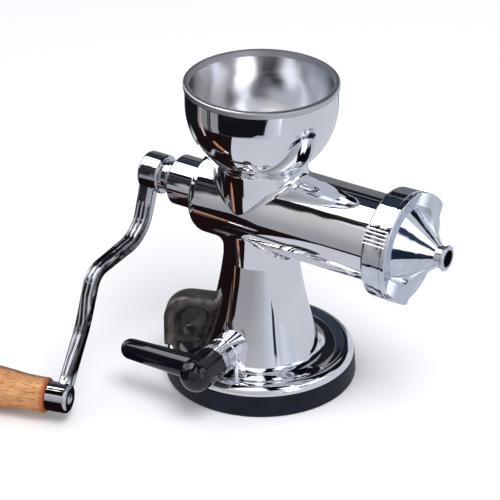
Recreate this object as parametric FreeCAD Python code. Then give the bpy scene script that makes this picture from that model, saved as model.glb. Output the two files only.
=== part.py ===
"""Hand-cranked wheatgrass juicer: polished steel body on a suction base, with a wooden crank grip.

Millimetres. +Z is up and the table is z = 0. The auger lies along +X, towards the winged front cap.
The crank is at the rear, -X, and the suction lever points to the side, -Y. Each piece is one STEP.
"""
import FreeCAD, Part
import math
import os

V = FreeCAD.Vector

# ---- Driving dimensions ----------------------------------------------------------------------
# Polished body
AXIS_Z = 141.6            # height of the auger's axis
BARREL_R = 32.5
BARREL_BORE_R = 28.8
BARREL_FRONT_X = 122.0
BARREL_REAR_X = -73.3     # rear face of the collar round the shaft
COLLAR_R = 19.2
SHOULDER_START_X = -39.0  # the barrel's round rear shoulder starts here
SHOULDER_R = 8.6
CHAMBER_REAR_X = -40.5    # inside face of the rear wall
RIM_Z = 241.2
RIM_R = 56.8
LIP_HEIGHT = 4.6
BOWL_R = 55.8
BOWL_CENTRE_Z = 224.0
BOWL_WALL = 3.0
NECK_TOP_R = 34.2
NECK_LOW_R = 31.9
NECK_LOW_Z = 146.0
THROAT_R = 28.4
BOWL_FILLET = 9.0
NECK_STUB = 44.0
SADDLE_FILLET = 5.0
WAIST_FILLET = 8.0
HOPPER_SEAM_Z = 178.4     # the bowl is welded to the neck here
PEDESTAL_SEAM_Z = 104.0   # and the pedestal to the barrel's saddle here
WAIST_R = 28.2
WAIST_Z = 100.0
PEDESTAL_MID = (35.6, 58.0)
PEDESTAL_FOOT = (44.8, 26.0)
PEDESTAL_WALL = 4.0
FLANGE_R = 71.0
PAD_TOP_Z = 17.2

# Juice screen and outlet
SCREEN_REAR_X = 62.0
SCREEN_FRONT_X = 112.0
SCREEN_SEAT_R = 30.0
JUICE_SLOT_X = (70.0, 102.0)
JUICE_SLOT_WIDTH = 14.0
SCREEN_SLOT_COUNT = 9
SCREEN_SLOT_WIDTH = 1.6

# Auger and its bearing
SHAFT_R = 8.0
RUNNING_GAP = 0.08
BUSH_R = 12.0
BUSH_FLANGE_R = 14.2
BUSH_FLANGE = 3.0
FLIGHT_R = 28.4
FLIGHT_PITCH = 26.0
FLIGHT_START_X = -36.5
FLIGHT_END_X = 114.0
CORE_REAR_R = 10.0
CORE_FRONT_R = 18.0

# Crank and grip
HUB_REAR_X = -103.2
HUB_FRONT_X = -84.3
HUB_R = 15.0
HUB_NECK_R = 11.5
CRANK_ROUTE = ((-96.0, -4.9, 141.6), (-96.0, -21.5, 96.4), (-96.0, -81.3, 91.6), (-94.3, -98.9, 54.9),
               (-83.2, -141.4, 18.2))
CRANK_BEND_R = (28.0, 18.0, 40.0)
CRANK_TOP = (14.0, 11.5)     # width along the shaft, width in the crank's plane
CRANK_MIDDLE = (12.0, 9.4)
CRANK_END = (10.6, 10.6)
PIN_START = (-77.1, -140.0, 18.2)   # the grip's pin starts in the boss's front face
PIN_YAW = 14.5                      # and leans away from the body by this many degrees
BOSS_R = 11.0
BOSS_LENGTH = 17.0
GRIP_LENGTH = 95.0
GRIP_END_GAP = 0.3
GRIP_NECK_R = 13.2
GRIP_SWELL_R = 16.4
BOLT_R = 3.0

# Winged front cap
CAP_REAR_X = 107.7
CAP_FACE_X = 128.0
CAP_R = 41.2
CAP_THREAD_R = 32.9
CAP_SHOULDER_X = 124.0
CONE_BASE = (127.0, 30.0)
NOZZLE_START_X = 149.4
NOZZLE_END_X = 157.0
NOZZLE_R = 8.2
NOZZLE_LIP_R = 9.6
NOZZLE_BORE_R = 6.5
WING_ANGLE = 50.5            # degrees from +Y towards +Z
WING_TIP_X = 132.4
WING_WAIST = (138.2, 23.0)    # the wings' front edge is hollow and passes here
WING_SCOOP_R = 30.0
WING_SCOOP_X = 150.0
WING_SCOOP_Y = 33.0
WING_SCOOP_REACH = 31.5      # the scoops end this far from the axis, inside the wings' rim
WING_SCOOP_END_R = 8.0
WING_RIM_Y = 36.0            # a wider cut, right across, leaves the wings' rim
WING_CUT_REACH = 60.0

# Clamp lug at the rear of the base
LUG_TURN = 25.0              # degrees from the rear towards the lever
LUG_REACH = 74.0
LUG_TOP_Z = 62.6
LUG_HALF = 10.0
LUG_WEB_HALF = 4.0
LUG_HOLE = (54.2, 30.2)
LUG_HOLE_R = 5.2
LUG_RIM = 13.5
LUG_POCKET_LOW_Z = 24.4
LUG_POCKET_DRAFT = 4.5      # how far the pocket's sloping sides open towards its mouth

# Suction base
PAD_R = 72.6
PAD_INNER_R = 57.0
PLATE_R = 62.0
PLATE_Z = 13.2
DIAPHRAGM_THICKNESS = 4.5
SCREW_CIRCLE_R = 50.0
SCREW_R = 2.5
SCREW_COUNT = 4

# Suction lever
LEVER_Z = 37.5
CAM_R = 5.0
CAM_PIN_R = 2.8
CAM_THROW = 2.0
CAM_PIN_HALF = 6.0
LEVER_BOSS_R = 13.0
LEVER_BOSS_Y = -53.5
LEVER_BUSH_R = 12.6
LEVER_SPIGOT_R = 8.4
LEVER_BUSH_Y = -67.5
LEVER_RIB_LENGTH = 6.5
LEVER_HUB_R = 12.7
LEVER_HUB_Y = (-68.1, -99.5)
LEVER_HUB_DOME = 11.5
LEVER_ARM_Y = -79.0
LEVER_ARM_TIP_X = -64.6
LEVER_ARM_R = (10.0, 7.9)
LEVER_ARM_DROOP = 2.5       # degrees that the arm points down at rest
STEM_R = 6.0
STEM_TRAVEL = 2 * CAM_THROW
STEM_SLOT_PLAY = 0.6


# ---- Drawing helpers -------------------------------------------------------------------------
def upright(r, z):
    """A point of a profile that is turned about the vertical centre line."""
    return V(r, 0, z)


def along(x, r):
    """A point of a profile that is turned about the auger's axis."""
    return V(x, 0, AXIS_Z + r)


def outline(place, start, steps):
    """A closed wire: each step is an end point, or a pair of a point passed through and an end point."""
    here = place(*start)
    first = here
    edges = []
    for step in steps:
        if isinstance(step[0], tuple):
            through = place(*step[0])
            end = place(*step[1])
            edges.append(Part.Arc(here, through, end).toShape())
        else:
            end = place(*step)
            edges.append(Part.LineSegment(here, end).toShape())
        here = end
    if here.distanceToPoint(first) > 1e-6:
        edges.append(Part.LineSegment(here, first).toShape())
    return Part.Wire(edges)


def rounded(place, corners):
    """A closed wire through corners of (u, v, radius), each rounded by its own radius."""
    edges = []
    joints = []
    count = len(corners)
    for i in range(count):
        corner = V(corners[i][0], corners[i][1], 0)
        radius = corners[i][2]
        back = V(corners[i - 1][0], corners[i - 1][1], 0) - corner
        ahead = V(corners[(i + 1) % count][0], corners[(i + 1) % count][1], 0) - corner
        back.normalize()
        ahead.normalize()
        if radius == 0:
            joints.append((corner, None, corner))
            continue
        half = back.getAngle(ahead) / 2
        middle = back + ahead
        middle.normalize()
        reach = radius / math.tan(half)
        depth = radius / math.sin(half) - radius
        joints.append((corner + back * reach, corner + middle * depth, corner + ahead * reach))
    for i in range(count):
        start, through, end = joints[i]
        if through is not None:
            points = [place(p.x, p.y) for p in (start, through, end)]
            edges.append(Part.Arc(*points).toShape())
        after = joints[(i + 1) % count][0]
        if end.distanceToPoint(after) > 1e-6:
            edges.append(Part.LineSegment(place(end.x, end.y), place(after.x, after.y)).toShape())
    return Part.Wire(edges)


def dome(u, r, rise):
    """The step that closes a turned profile with a spherical cap, from radius r at u to the axis."""
    sphere_r = (r ** 2 + rise ** 2) / (2 * abs(rise))
    centre = u + rise - math.copysign(sphere_r, rise)
    half = math.asin(r / sphere_r) / 2
    mid = (centre + math.copysign(sphere_r * math.cos(half), rise), sphere_r * math.sin(half))
    return mid, (u + rise, 0)


def turn_upright(wire):
    return Part.Face(wire).revolve(V(0, 0, 0), V(0, 0, 1), 360)


def turn_along(wire, y=0.0, z=AXIS_Z):
    """Turns a profile drawn with along() and moves it to another axis parallel to X."""
    solid = Part.Face(wire).revolve(V(0, 0, AXIS_Z), V(1, 0, 0), 360)
    solid.translate(V(0, y, z - AXIS_Z))
    return solid


def rod_x(radius, x_from, x_to, y=0.0, z=AXIS_Z):
    return Part.makeCylinder(radius, x_to - x_from, V(x_from, y, z), V(1, 0, 0))


def rod_y(radius, y_from, y_to, x=0.0, z=LEVER_Z):
    return Part.makeCylinder(radius, y_to - y_from, V(x, y_from, z), V(0, 1, 0))


def rod_z(radius, z_from, z_to, x=0.0, y=0.0):
    return Part.makeCylinder(radius, z_to - z_from, V(x, y, z_from))


def block(x_range, y_range, z_range):
    size = [high - low for low, high in (x_range, y_range, z_range)]
    return Part.makeBox(*size, V(x_range[0], y_range[0], z_range[0]))


def oblong(length, width, depth):
    """An upright bar with round ends, centred on the origin, its length along X."""
    straight = length / 2 - width / 2
    bar = block((-straight, straight), (-width / 2, width / 2), (0, depth))
    for side in (-1, 1):
        bar = bar.fuse(Part.makeCylinder(width / 2, depth, V(side * straight, 0, 0)))
    return bar.removeSplitter()


# ---- Polished body ---------------------------------------------------------------------------
def bowl_and_neck(offset, top_z, low_z):
    """The turned form of the bowl and its neck, set in by offset from the outer surface."""
    radius = BOWL_R - offset
    fillet = BOWL_FILLET + offset
    throat_top = NECK_TOP_R - offset * (NECK_TOP_R - THROAT_R) / BOWL_WALL
    fillet_r = throat_top + fillet
    fillet_z = BOWL_CENTRE_Z - math.sqrt((radius + fillet) ** 2 - fillet_r ** 2)
    away = V(fillet_r, fillet_z - BOWL_CENTRE_Z, 0)
    away.normalize()
    touch = (away.x * radius, BOWL_CENTRE_Z + away.y * radius)
    low_angle = math.asin(-away.y)
    bowl_mid = (radius * math.cos(low_angle / 2), BOWL_CENTRE_Z - radius * math.sin(low_angle / 2))
    back = V(-away.x, -away.y, 0) + V(-1, 0, 0)
    back.normalize()
    fillet_mid = (fillet_r + back.x * fillet, fillet_z + back.y * fillet)
    neck_low_r = THROAT_R if offset else NECK_LOW_R
    steps = [
        (radius, top_z),
        (radius, BOWL_CENTRE_Z),
        (bowl_mid, touch),
        (fillet_mid, (throat_top, fillet_z)),
        (neck_low_r, low_z),
        (0, low_z),
    ]
    return turn_upright(outline(upright, (0, top_z), steps))


def barrel_form():
    """The turned outside of the barrel, with the round rear shoulder and the collar."""
    edge = 1.6
    wall_x = SHOULDER_START_X - SHOULDER_R
    wall_r = BARREL_R - SHOULDER_R
    slant = SHOULDER_R * math.sqrt(0.5)
    steps = [
        (BARREL_REAR_X, COLLAR_R - edge),
        (BARREL_REAR_X + edge, COLLAR_R),
        (wall_x, COLLAR_R),
        (wall_x, wall_r),
        ((SHOULDER_START_X - slant, wall_r + slant), (SHOULDER_START_X, BARREL_R)),
        (BARREL_FRONT_X, BARREL_R),
        (BARREL_FRONT_X, 0),
    ]
    return turn_along(outline(along, (BARREL_REAR_X, 0), steps))


def pedestal_form():
    """The turned outside of the flared pedestal and its rolled flange, up into the barrel."""
    steps = [
        (WAIST_R, AXIS_Z - 10),
        (WAIST_R, WAIST_Z),
        (PEDESTAL_MID, PEDESTAL_FOOT),
        ((47.2, 23.6), (50.5, 22.6)),
        ((56.5, 22.7), (62.0, 23.9)),
        ((67.6, 23.3), (FLANGE_R, PAD_TOP_Z)),
        (0, PAD_TOP_Z),
    ]
    return turn_upright(outline(upright, (0, AXIS_Z - 10), steps))


def pedestal_hollow():
    """The inside of the pedestal, open at the bottom for the suction gear."""
    top_z = WAIST_Z - 6
    waist = WAIST_R - PEDESTAL_WALL
    mid = (PEDESTAL_MID[0] - PEDESTAL_WALL, PEDESTAL_MID[1])
    foot = (PEDESTAL_FOOT[0] - PEDESTAL_WALL, PEDESTAL_FOOT[1])
    steps = [
        (waist - 6, top_z),
        ((waist - 2, top_z - 2), (waist, top_z - 6)),
        (mid, foot),
        (foot[0], PAD_TOP_Z),
        (0, PAD_TOP_Z),
    ]
    return turn_upright(outline(upright, (0, top_z), steps))


def lever_boss():
    """The arched boss on the pedestal's side, which carries the lever's bush."""
    arch = rod_y(LEVER_BOSS_R, LEVER_BOSS_Y, -20)
    foot = block((-LEVER_BOSS_R, LEVER_BOSS_R), (LEVER_BOSS_Y, -20), (PAD_TOP_Z + 2, LEVER_Z))
    boss = arch.fuse(foot).removeSplitter()
    front = [e for e in boss.Edges if e.BoundBox.YMax < LEVER_BOSS_Y + 0.1 and e.BoundBox.ZMax > LEVER_Z]
    return boss.makeFillet(2.0, front)


def far_bearing():
    """The blind inner boss that holds the far end of the cam shaft."""
    return rod_y(CAM_R + 4, 26, 39)


def neck_stub():
    """The plain tapered neck, which the barrel's saddle is blended into before the bowl joins it."""
    low_z = NECK_LOW_Z - 4
    taper = (NECK_TOP_R - NECK_LOW_R) / (neck_top_z() - low_z)
    return Part.makeCone(NECK_LOW_R, NECK_LOW_R + taper * NECK_STUB, NECK_STUB, V(0, 0, low_z))


def neck_top_z():
    """The height where the neck turns into the fillet under the bowl."""
    reach = BOWL_R + BOWL_FILLET
    return BOWL_CENTRE_Z - math.sqrt(reach ** 2 - (NECK_TOP_R + BOWL_FILLET) ** 2)


def saddle_edges(shape, z_low, z_high):
    """The edges where the barrel meets an upright form, between two heights."""
    found = []
    for edge in shape.Edges:
        low, high = edge.ParameterRange
        points = [edge.valueAt(low + (high - low) * t) for t in (0.1, 0.35, 0.6, 0.9)]
        on_barrel = all(abs(math.hypot(p.y, p.z - AXIS_Z) - BARREL_R) < 1e-3 for p in points)
        near_neck = all(math.hypot(p.x, p.y) < BARREL_R + 4 for p in points)
        in_band = all(z_low < p.z < z_high for p in points)
        if on_barrel and near_neck and in_band and edge.BoundBox.YLength > 1:
            found.append(edge)
    return found


def outer_form():
    """The whole polished outside: barrel, neck and pedestal with blended saddles, bowl, lip and boss."""
    lip = turn_upright(rounded(upright, [
        (0, RIM_Z, 0), (RIM_R, RIM_Z, 1.2), (RIM_R, RIM_Z - LIP_HEIGHT, 0.8), (0, RIM_Z - LIP_HEIGHT, 0)]))
    form = barrel_form().fuse([neck_stub(), pedestal_form()])
    form = form.makeFillet(SADDLE_FILLET, saddle_edges(form, AXIS_Z + 1, RIM_Z))
    form = form.makeFillet(WAIST_FILLET, saddle_edges(form, PAD_TOP_Z, AXIS_Z - 1))
    return form.fuse([bowl_and_neck(0.0, RIM_Z - 1, NECK_LOW_Z - 4), lip, lever_boss()])


def inner_cuts():
    """Everything that is hollow in the body: bowl, throat, chamber, bearings, screws and outlet."""
    slot_length = JUICE_SLOT_X[1] - JUICE_SLOT_X[0]
    slot = oblong(slot_length, JUICE_SLOT_WIDTH, 12)
    slot.translate(V(sum(JUICE_SLOT_X) / 2, 0, AXIS_Z - BARREL_R - 5))
    return [
        bowl_and_neck(BOWL_WALL, RIM_Z + 1, AXIS_Z),
        rod_x(BARREL_BORE_R, CHAMBER_REAR_X, BARREL_FRONT_X + 1),
        rod_x(SCREEN_SEAT_R, SCREEN_REAR_X, BARREL_FRONT_X + 1),
        rod_x(BUSH_R, BARREL_REAR_X - 1, CHAMBER_REAR_X + 1),
        slot,
        pedestal_hollow(),
        rod_y(LEVER_SPIGOT_R, LEVER_BOSS_Y - 1, -30),
    ]


def body_castings():
    """The bowl, the barrel with its saddle and the pedestal, cut from one polished form."""
    form = outer_form().cut(inner_cuts())
    bearing = far_bearing().common(pedestal_form())
    far_bore = rod_y(CAM_R + RUNNING_GAP, 20, 36.2)
    form = form.fuse(bearing).cut([far_bore] + [screw_hole(i, 6) for i in range(SCREW_COUNT)])
    wide = 300.0
    above = block((-wide, wide), (-wide, wide), (HOPPER_SEAM_Z, wide))
    below = block((-wide, wide), (-wide, wide), (-1, PEDESTAL_SEAM_Z))
    hopper = form.common(above)
    pedestal = form.common(below)
    barrel = form.cut([above, below])
    return hopper, barrel, pedestal


def rear_bush():
    """Flanged bearing bush, pressed into the collar; the auger's shaft turns in it."""
    sleeve = rod_x(BUSH_R, BARREL_REAR_X, CHAMBER_REAR_X)
    flange = turn_along(rounded(along, [
        (BARREL_REAR_X - BUSH_FLANGE, 0, 0), (BARREL_REAR_X - BUSH_FLANGE, BUSH_FLANGE_R, 0.8),
        (BARREL_REAR_X, BUSH_FLANGE_R, 0), (BARREL_REAR_X, 0, 0)]))
    bore = rod_x(SHAFT_R + RUNNING_GAP, BARREL_REAR_X - BUSH_FLANGE - 1, CHAMBER_REAR_X + 1)
    return sleeve.fuse(flange).cut(bore)


def screen():
    """Sleeve with lengthwise slits along its underside, which lets the juice out."""
    sleeve = rod_x(SCREEN_SEAT_R - 0.05, SCREEN_REAR_X + 0.1, SCREEN_FRONT_X)
    sleeve = sleeve.cut(rod_x(BARREL_BORE_R, SCREEN_REAR_X, SCREEN_FRONT_X + 1))
    slits = []
    spread = 8.0
    for i in range(SCREEN_SLOT_COUNT):
        angle = (i - (SCREEN_SLOT_COUNT - 1) / 2) * spread
        slit = block((JUICE_SLOT_X[0], JUICE_SLOT_X[1]), (-SCREEN_SLOT_WIDTH / 2, SCREEN_SLOT_WIDTH / 2),
                     (AXIS_Z - BARREL_R, AXIS_Z - BARREL_BORE_R + 2))
        slit.rotate(V(0, 0, AXIS_Z), V(1, 0, 0), angle)
        slits.append(slit)
    return sleeve.cut(slits)


# ---- Auger, crank and grip -------------------------------------------------------------------
def pin_direction():
    """The way the grip's pin points, from the crank outwards."""
    yaw = math.radians(PIN_YAW)
    return V(-math.cos(yaw), -math.sin(yaw), 0)


def on_pin(reach, r):
    """A point of a profile that is turned about the grip's pin, reach out from the boss's front face."""
    return V(*PIN_START) + pin_direction() * reach + V(0, 0, r)


def turn_on_pin(wire):
    return Part.Face(wire).revolve(V(*PIN_START), pin_direction(), 360)


def rod_on_pin(radius, reach_from, reach_to):
    return Part.makeCylinder(radius, reach_to - reach_from, on_pin(reach_from, 0), pin_direction())


def auger():
    """Tapered core with a deep helical flight, and the shaft that the crank drives."""
    shaft_end = HUB_REAR_X + 3
    steps = [
        (shaft_end, SHAFT_R - 1),
        (shaft_end + 1, SHAFT_R),
        (CHAMBER_REAR_X + 0.2, SHAFT_R),
        (CHAMBER_REAR_X + 0.2, FLIGHT_R - 1),
        (CHAMBER_REAR_X + 1.2, FLIGHT_R),
        (FLIGHT_START_X, FLIGHT_R),
        (FLIGHT_START_X, CORE_REAR_R),
        (FLIGHT_END_X, CORE_FRONT_R),
        (FLIGHT_END_X + 10, CORE_FRONT_R - 8),
        (FLIGHT_END_X + 10, 0),
    ]
    core = turn_along(outline(along, (shaft_end, 0), steps))
    lead_in = 6.0
    helix = Part.makeHelix(FLIGHT_PITCH, FLIGHT_END_X - FLIGHT_START_X + lead_in, CORE_REAR_R)
    root_half = 3.2
    tip_half = 1.6
    root_r = CORE_REAR_R - 3
    tip_r = FLIGHT_R + 2
    corners = [(root_r, -root_half), (tip_r, -tip_half), (tip_r, tip_half), (root_r, root_half)]
    profile = Part.makePolygon([V(r, 0, x) for r, x in corners + corners[:1]])
    flight = Part.Wire(helix.Edges).makePipeShell([profile], True, True)
    flight.rotate(V(0, 0, 0), V(0, 1, 0), 90)
    flight.translate(V(FLIGHT_START_X - lead_in, 0, AXIS_Z))
    trimmed = flight.common(rod_x(FLIGHT_R, FLIGHT_START_X - 1, FLIGHT_END_X - 1))
    return core.fuse(trimmed)


def thrust_washer():
    """Washer on the shaft between the bush's flange and the crank's hub."""
    front = BARREL_REAR_X - BUSH_FLANGE - 0.1
    ring = turn_along(rounded(along, [
        (front - 2.8, 0, 0), (front - 2.8, BUSH_FLANGE_R - 1.2, 0.8), (front, BUSH_FLANGE_R - 1.2, 0.8),
        (front, 0, 0)]))
    return ring.cut(rod_x(SHAFT_R, front - 4, front + 1))


def bar_section(centre, direction, width, height):
    """A rounded bar section across the crank's route; width lies along the shaft."""
    direction.normalize()
    side = V(1, 0, 0) - direction * direction.x
    side.normalize()
    up = direction.cross(side)
    radius = 0.36 * min(width, height)

    def place(u, v):
        return centre + side * u + up * v

    w = width / 2
    h = height / 2
    return rounded(place, [(w, h, radius), (-w, h, radius), (-w, -h, radius), (w, -h, radius)])


def crank_route():
    """The crank's centre line: straight runs joined by tangent arcs."""
    points = [V(*p) for p in CRANK_ROUTE]
    edges = []
    here = points[0]
    for i, bend in enumerate(CRANK_BEND_R, start=1):
        back = points[i - 1] - points[i]
        ahead = points[i + 1] - points[i]
        back.normalize()
        ahead.normalize()
        half = back.getAngle(ahead) / 2
        reach = bend / math.tan(half)
        middle = back + ahead
        middle.normalize()
        start = points[i] + back * reach
        end = points[i] + ahead * reach
        through = points[i] + middle * (bend / math.sin(half) - bend)
        edges.append(Part.LineSegment(here, start).toShape())
        edges.append(Part.Arc(start, through, end).toShape())
        here = end
    edges.append(Part.LineSegment(here, points[-1]).toShape())
    return Part.Wire(edges)


def crank_arm():
    """Forged crank: hub on the shaft, a double-bent bar that thins outwards, and the grip's boss."""
    hub = turn_along(rounded(along, [
        (HUB_REAR_X, 0, 0), (HUB_REAR_X, HUB_R, 3.5), (HUB_FRONT_X, HUB_R, 2.2), (HUB_FRONT_X, HUB_NECK_R, 0),
        (HUB_FRONT_X + 5.0, HUB_NECK_R, 0), (HUB_FRONT_X + 5.0, 0, 0)]))
    points = [V(*p) for p in CRANK_ROUTE]
    sweep = Part.BRepOffsetAPI.MakePipeShell(crank_route())
    sweep.setBiNormalMode(V(1, 0, 0))
    sweep.add(bar_section(points[0], points[1] - points[0], *CRANK_TOP))
    sweep.add(bar_section((points[1] + points[2]) * 0.5, points[2] - points[1], *CRANK_MIDDLE))
    sweep.add(bar_section(points[-1], points[-1] - points[-2], *CRANK_END))
    sweep.build()
    sweep.makeSolid()
    arm = sweep.shape()
    boss = turn_on_pin(rounded(on_pin, [
        (0, 0, 0), (0, BOSS_R, 2.4), (BOSS_LENGTH, BOSS_R, 0.8), (BOSS_LENGTH, 0, 0)]))
    crank = hub.fuse([arm, boss])
    shaft_bore = rod_x(SHAFT_R, HUB_REAR_X + 3, HUB_FRONT_X + 6)
    bolt_bore = rod_on_pin(BOLT_R, -1, BOSS_LENGTH + 1)
    return crank.cut([shaft_bore, bolt_bore, lock_screw_form()])


def lock_screw_form():
    return rod_y(2.5, SHAFT_R, HUB_R + 0.6, (HUB_REAR_X + HUB_FRONT_X) / 2, AXIS_Z)


def crank_lock_screw():
    """Grub screw on the far side of the hub, with a hexagon socket."""
    x = (HUB_REAR_X + HUB_FRONT_X) / 2
    socket = Part.Face(Part.makePolygon([
        V(x + 1.3 * math.cos(math.radians(60 * i)), HUB_R + 1, AXIS_Z + 1.3 * math.sin(math.radians(60 * i)))
        for i in range(7)])).extrude(V(0, -3, 0))
    return lock_screw_form().cut(socket)


def grip_start():
    return BOSS_LENGTH + GRIP_END_GAP


def grip_end():
    return grip_start() + GRIP_LENGTH


def wooden_grip():
    """Turned wooden grip: a narrow neck by the crank, swelling to the palm and rounded at its end."""
    near = grip_start()
    far = grip_end()
    steps = [
        (near, GRIP_NECK_R - 1.6),
        ((near + 0.6, GRIP_NECK_R - 0.5), (near + 2.4, GRIP_NECK_R)),
        ((near + 11, GRIP_NECK_R - 0.1), (near + 20, GRIP_NECK_R + 0.2)),
        ((near + 36, GRIP_SWELL_R - 1.3), (near + 57, GRIP_SWELL_R)),
        ((far - 12, GRIP_SWELL_R - 2.2), (far - 3, 9.6)),
        ((far - 0.7, 7.4), (far, 5.6)),
        (far, 0),
    ]
    grip = turn_on_pin(outline(on_pin, (near, 0), steps))
    return grip.cut(rod_on_pin(BOLT_R + RUNNING_GAP, near - 1, far + 1))


def grip_bolt():
    """Long rivet through the boss and the grip, domed at the boss's front face."""
    tail = grip_end() + 2.3
    head_r = BOLT_R + 1.6
    steps = [
        (tail, BOLT_R - 0.6),
        (tail - 0.6, BOLT_R),
        (0, BOLT_R),
        (0, head_r),
        dome(0, head_r, -1.5),
    ]
    return turn_on_pin(outline(on_pin, (tail, 0), steps))


def grip_nut():
    """Domed nut and collar that keep the grip on its bolt."""
    near = grip_end() + GRIP_END_GAP
    steps = [
        (near, 5.2),
        ((near + 1.2, 4.9), (near + 2.0, 3.6)),
        (near + 2.0, 0),
    ]
    nut = turn_on_pin(outline(on_pin, (near, 0), steps))
    return nut.cut(rod_on_pin(BOLT_R, near - 1, near + 3))


# ---- Winged front cap ------------------------------------------------------------------------
def cap_wings():
    """Two opposite wings: a turned shoulder with a round-ended scoop taken from each side."""
    steps = [
        (CAP_FACE_X - 2, CAP_R - 0.2),
        (WING_TIP_X, CAP_R - 0.2),
        ((WING_TIP_X + 1.5, CAP_R - 1.2), (WING_TIP_X + 1.9, CAP_R - 3)),
        (WING_WAIST, (NOZZLE_START_X + 0.6, NOZZLE_R)),
        (NOZZLE_START_X + 0.6, 0),
    ]
    shoulder = turn_along(outline(along, (CAP_FACE_X - 2, 0), steps))
    scoops = []
    for side in (-1, 1):
        base = V(WING_SCOOP_X, side * WING_SCOOP_Y, AXIS_Z - WING_SCOOP_REACH)
        scoop = Part.makeCylinder(WING_SCOOP_R, 2 * WING_SCOOP_REACH, base)
        ends = [e for e in scoop.Edges if e.BoundBox.ZLength < 1e-3]
        scoops.append(scoop.makeFillet(WING_SCOOP_END_R, ends))
        rim_base = V(WING_SCOOP_X, side * WING_RIM_Y, AXIS_Z - WING_CUT_REACH)
        scoops.append(Part.makeCylinder(WING_SCOOP_R, 2 * WING_CUT_REACH, rim_base))
    wings = shoulder.cut(scoops)
    wings.rotate(V(0, 0, AXIS_Z), V(1, 0, 0), WING_ANGLE - 90)
    return wings


def front_cap():
    """Cast cap that screws over the barrel: band with beads, cone, pulp nozzle and two wings."""
    groove = 0.9
    band = turn_along(outline(along, (CAP_REAR_X, 0), [
        (CAP_REAR_X, CAP_R - 3.4),
        ((CAP_REAR_X + 0.9, CAP_R - 1.1), (CAP_REAR_X + 3.2, CAP_R - 0.4)),
        (CAP_FACE_X - 4.4, CAP_R),
        (CAP_FACE_X - 3.9, CAP_R - groove),
        (CAP_FACE_X - 3.1, CAP_R - groove),
        (CAP_FACE_X - 2.6, CAP_R),
        (CAP_FACE_X - 1.2, CAP_R),
        ((CAP_FACE_X - 0.3, CAP_R - 0.4), (CAP_FACE_X, CAP_R - 1.4)),
        ((CAP_FACE_X - 0.8, CAP_R - 6.5), CONE_BASE),
        (NOZZLE_START_X, NOZZLE_R),
        (NOZZLE_END_X - 3.0, NOZZLE_R),
        ((NOZZLE_END_X - 2.4, NOZZLE_LIP_R - 0.5), (NOZZLE_END_X - 1.4, NOZZLE_LIP_R)),
        ((NOZZLE_END_X - 0.3, NOZZLE_LIP_R - 0.5), (NOZZLE_END_X, NOZZLE_LIP_R - 1.4)),
        (NOZZLE_END_X, 0),
    ]))
    inside = turn_along(outline(along, (CAP_REAR_X - 1, 0), [
        (CAP_REAR_X - 1, CAP_THREAD_R),
        (CAP_SHOULDER_X, CAP_THREAD_R),
        (CAP_SHOULDER_X, BARREL_BORE_R),
        (NOZZLE_START_X - 3.5, NOZZLE_BORE_R),
        (NOZZLE_END_X + 1, NOZZLE_BORE_R),
        (NOZZLE_END_X + 1, 0),
    ]))
    return band.fuse(cap_wings()).cut(inside)


def cap_seal():
    """Flat ring between the barrel's front edge and the cap's shoulder."""
    ring = rod_x(BARREL_R - 0.4, BARREL_FRONT_X, CAP_SHOULDER_X)
    return ring.cut(rod_x(BARREL_BORE_R + 0.2, BARREL_FRONT_X - 1, CAP_SHOULDER_X + 1))


# ---- Clamp lug -------------------------------------------------------------------------------
def clamp_lug():
    """Cast lug for a table clamp: a thick rounded rim round a thin web with a hole."""
    def face(rho, z):
        return V(-rho, -LUG_HALF, z)

    low_z = PAD_TOP_Z + 0.3
    plate = Part.Face(rounded(face, [
        (25, low_z, 0), (LUG_REACH, low_z, 2), (LUG_REACH, LUG_TOP_Z, 21), (25, LUG_TOP_Z - 2.5, 0)]))
    body = plate.extrude(V(0, 2 * LUG_HALF, 0))
    rims = [e for e in body.Edges if e.BoundBox.YLength < 1e-3 and e.BoundBox.XMin < -30]
    body = body.makeFillet(5.0, rims)
    outer = LUG_REACH - LUG_RIM
    top_z = LUG_TOP_Z - LUG_RIM + 2.5
    pockets = []
    for side in (-1, 1):
        rings = []
        for depth, spread in ((LUG_HALF + 0.1, LUG_POCKET_DRAFT), (LUG_WEB_HALF, 0.0)):
            ring = rounded(face, [
                (41.5 - spread, LUG_POCKET_LOW_Z - spread, 3 + spread),
                (outer + spread, LUG_POCKET_LOW_Z - spread, 6.5 + spread),
                (outer + spread, top_z + spread, 10 + spread),
                (41.5 - spread, top_z - 1.5 + spread, 4 + spread)])
            ring.translate(V(0, LUG_HALF + side * depth, 0))
            rings.append(ring)
        pockets.append(Part.makeLoft(rings, True))
    hole = rod_y(LUG_HOLE_R, -LUG_HALF - 1, LUG_HALF + 1, -LUG_HOLE[0], LUG_HOLE[1])
    lug = body.cut(pockets + [hole])
    lug.rotate(V(0, 0, 0), V(0, 0, 1), LUG_TURN)
    return lug.cut(pedestal_form())


# ---- Suction base ----------------------------------------------------------------------------
def suction_pad():
    """Moulded rubber ring that stands on the table and takes the flange and the base plate."""
    ring = turn_upright(rounded(upright, [
        (PAD_INNER_R, 0, 0), (PAD_R, 0, 1.6), (PAD_R - 1.2, PAD_TOP_Z, 1.2), (PLATE_R, PAD_TOP_Z, 0),
        (PLATE_R, PLATE_Z, 0), (PAD_INNER_R, PLATE_Z, 0)]))
    return ring


def pad_diaphragm():
    """The thin middle of the rubber moulding, which the stem lifts to make the suction."""
    return turn_upright(outline(upright, (0, 0), [
        (PAD_INNER_R, 0),
        (PAD_INNER_R, 3.2),
        ((36, 3.0), (19, DIAPHRAGM_THICKNESS)),
        (0, DIAPHRAGM_THICKNESS),
    ]))


def screw_place(i):
    angle = math.radians(45 + i * 360 / SCREW_COUNT)
    return SCREW_CIRCLE_R * math.cos(angle), SCREW_CIRCLE_R * math.sin(angle)


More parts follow.
